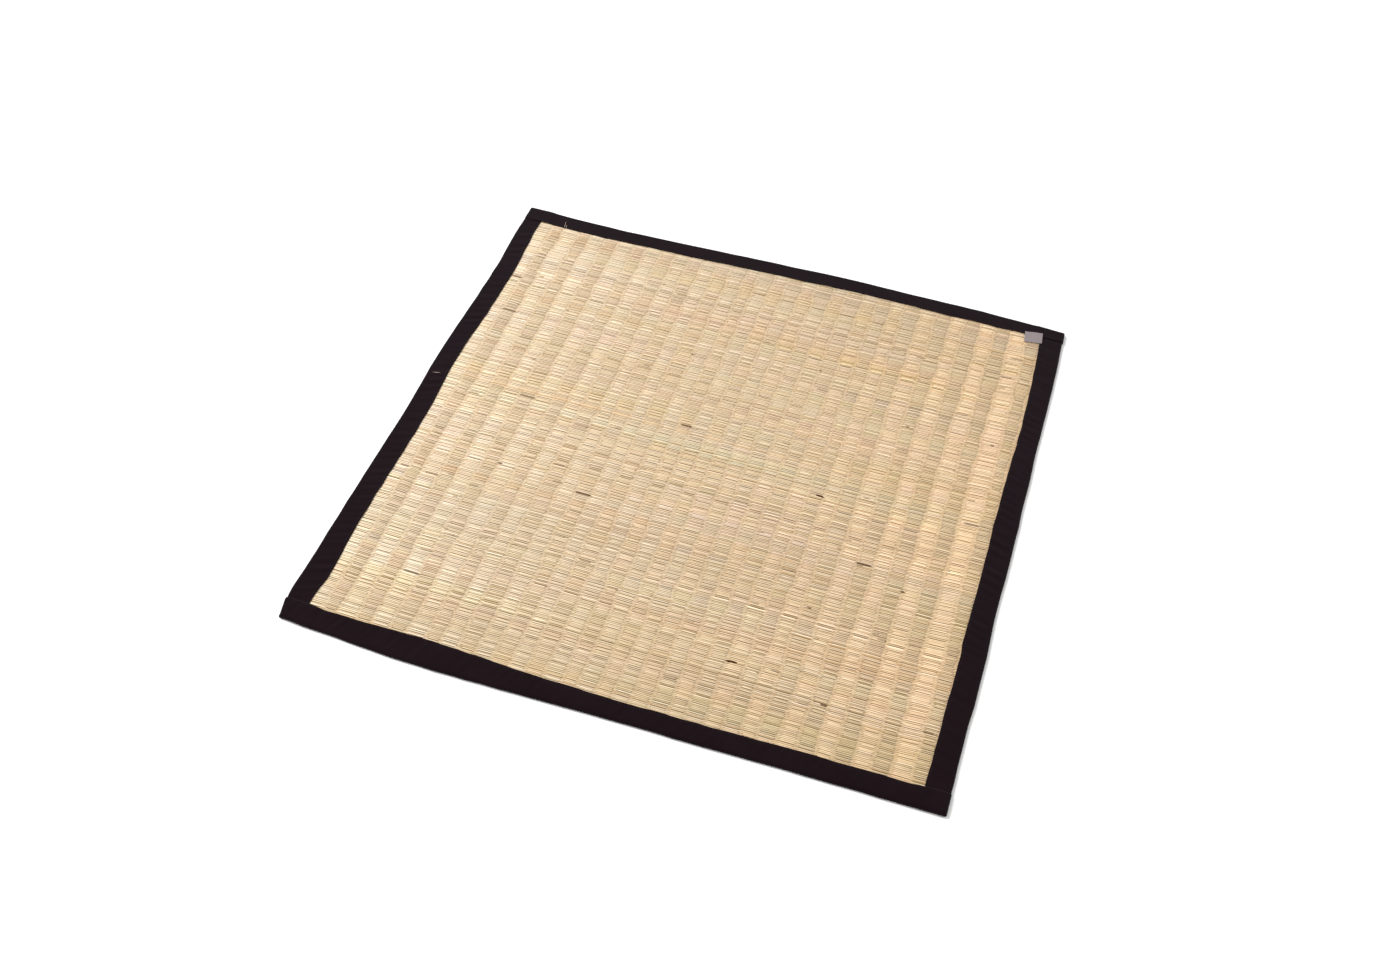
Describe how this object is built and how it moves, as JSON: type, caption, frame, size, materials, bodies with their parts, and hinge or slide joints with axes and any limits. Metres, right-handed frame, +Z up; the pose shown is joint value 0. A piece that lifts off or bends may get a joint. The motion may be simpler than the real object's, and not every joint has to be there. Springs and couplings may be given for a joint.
{
  "type": "tatami yoga mat",
  "caption": "Square flat mat of woven rush straw with soft ribs, bound on its edges with folded black cotton tape, with a small bare label, for sitting or exercise on a floor.",
  "frame": {"origin": "on the floor under the middle of the mat's outline", "axes": "+X along the straws to the right, +Y along the warps away from the viewer, +Z up from the floor"},
  "size_m": [0.9122, 0.912, 0.0092],
  "materials": {
    "rush": "woven natural rush straw, dry, with a soft sheen",
    "binding": "black cotton twill tape, matt",
    "label": "grey woven label cloth, matt, bare"
  },
  "bodies": {
    "root": {"rush_field": "rush", "tape_near": "binding", "tape_right": "binding", "tape_far": "binding", "tape_left": "binding", "label": "label"}
  },
  "joints": []
}
